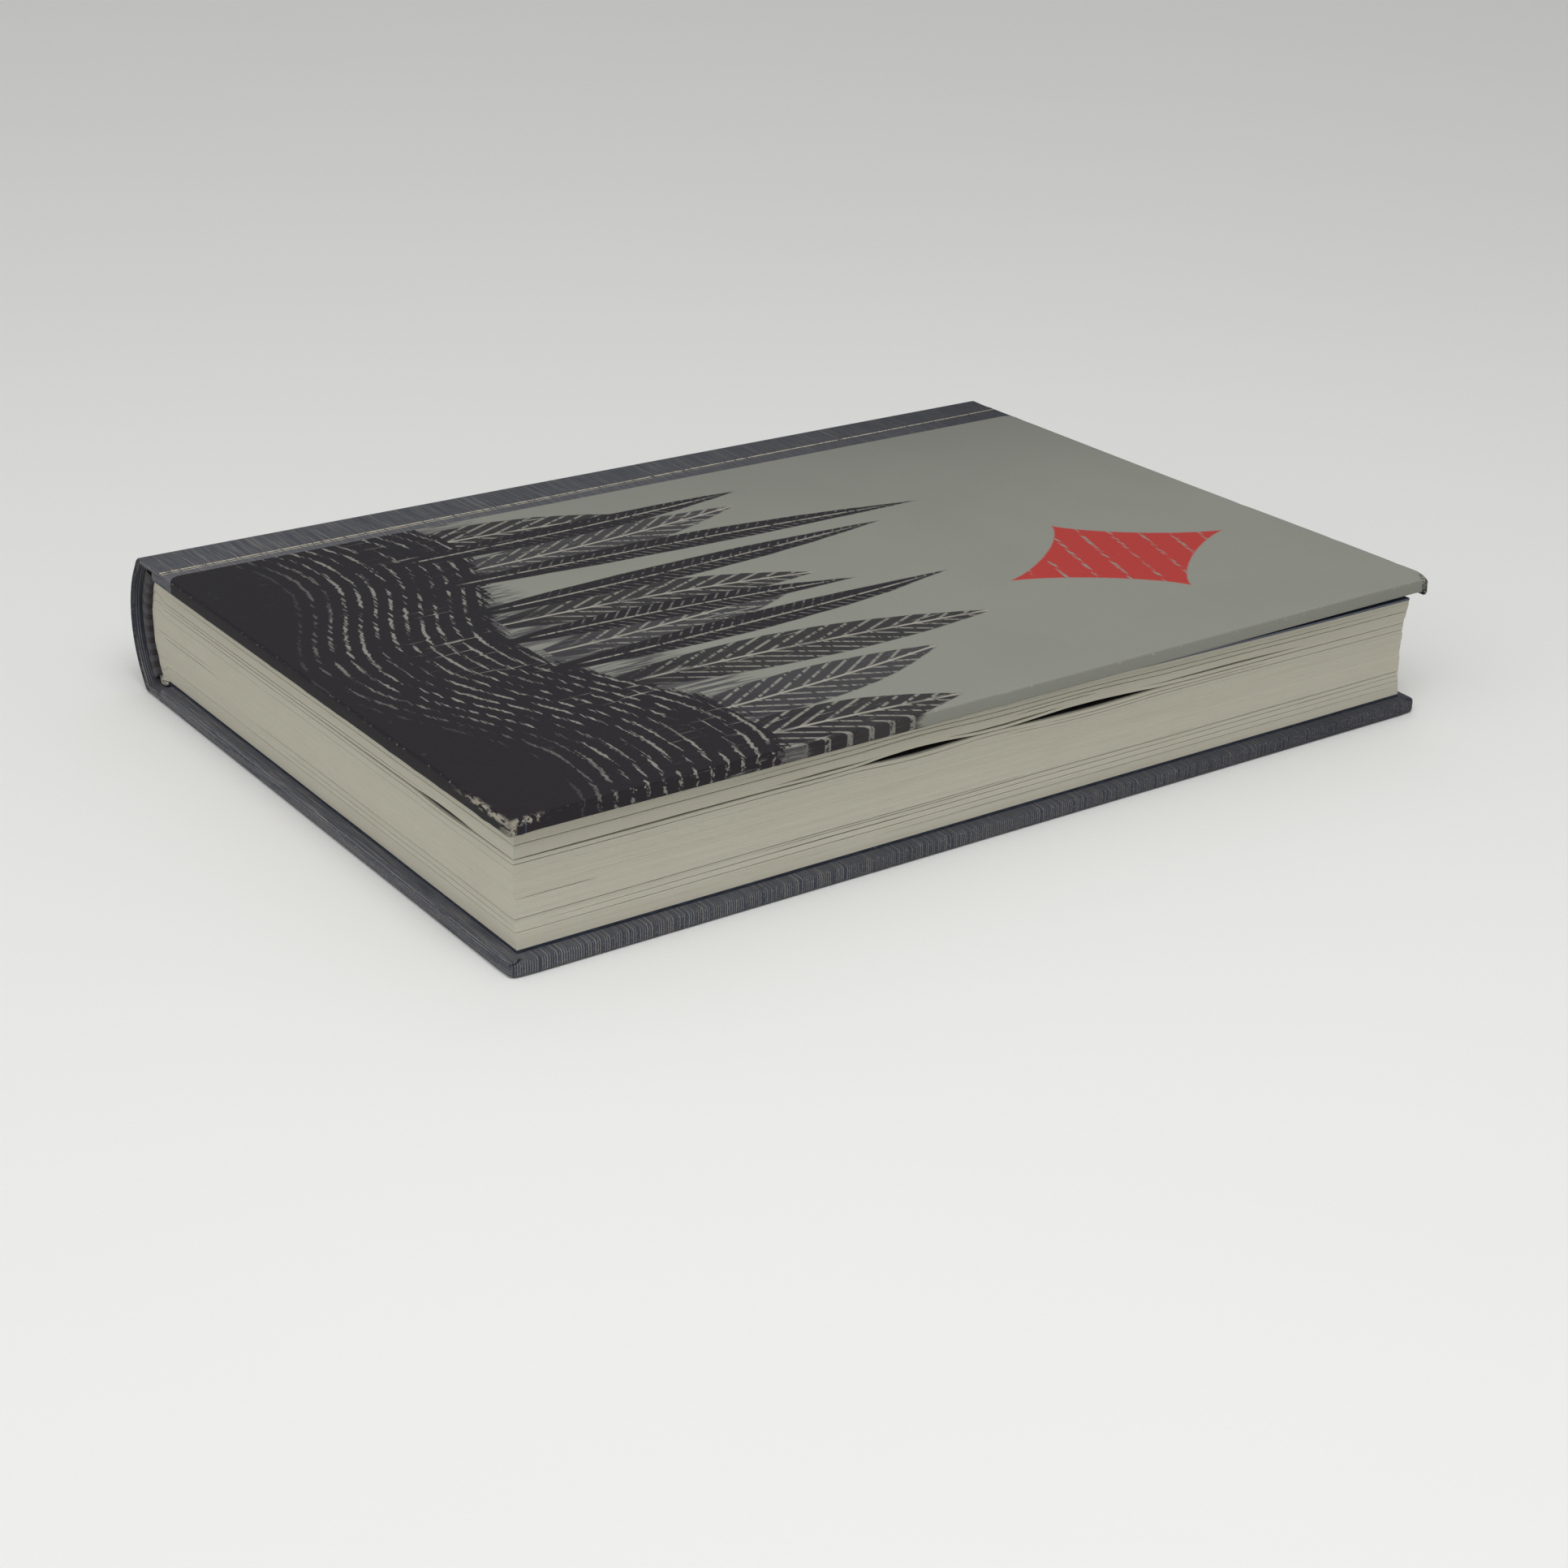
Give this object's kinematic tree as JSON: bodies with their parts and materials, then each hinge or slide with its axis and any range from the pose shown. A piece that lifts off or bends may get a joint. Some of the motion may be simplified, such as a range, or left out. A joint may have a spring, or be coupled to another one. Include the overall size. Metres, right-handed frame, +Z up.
{
  "type": "hardback book",
  "caption": "Closed quarter-bound hardback book lying on its back cover, with two hinged boards, a rounded cloth spine and a printed paper siding.",
  "frame": {"origin": "middle of the book's underside, where the back cover rests", "axes": "+Z up through the front cover, +Y along the spine towards the head, +X from the spine to the fore edge"},
  "size_m": [0.162, 0.229, 0.031],
  "materials": {
    "pages": "uncoated page edges",
    "cloth": "woven book cloth, navy and grey threads",
    "siding": "matt printed paper",
    "dark_ink": "matt dark print",
    "red_ink": "matt red print",
    "endpaper": "slate-blue endpaper",
    "board": "grey binder's board",
    "lining": "glued mull and paper",
    "band": "woven band with grey ribs"
  },
  "bodies": {
    "text_block": {"text_block": "pages", "tail_band": "band", "head_band": "band", "spine_lining": "lining", "spine_inlay": "board", "spine_cloth": "cloth", "front_flyleaf": "endpaper", "rear_flyleaf": "endpaper"},
    "front_cover": {"front_board": "board", "front_cover_cloth": "cloth", "front_cover_paper": "siding", "front_pastedown": "endpaper", "cover_print_dark": "dark_ink", "cover_print_red": "red_ink"},
    "back_cover": {"back_board": "board", "back_cover_cloth": "cloth", "back_pastedown": "endpaper"}
  },
  "joints": [
    {"name": "front_cover_hinge", "type": "hinge", "parent": "text_block", "child": "front_cover", "pos_m": [-0.0752, 0, 0.0276], "axis": [0, -1, 0], "range_deg": [0, 178]},
    {"name": "back_cover_hinge", "type": "hinge", "parent": "text_block", "child": "back_cover", "pos_m": [-0.0752, 0, 0.0034], "axis": [0, 1, 0], "range_deg": [0, 178]}
  ]
}
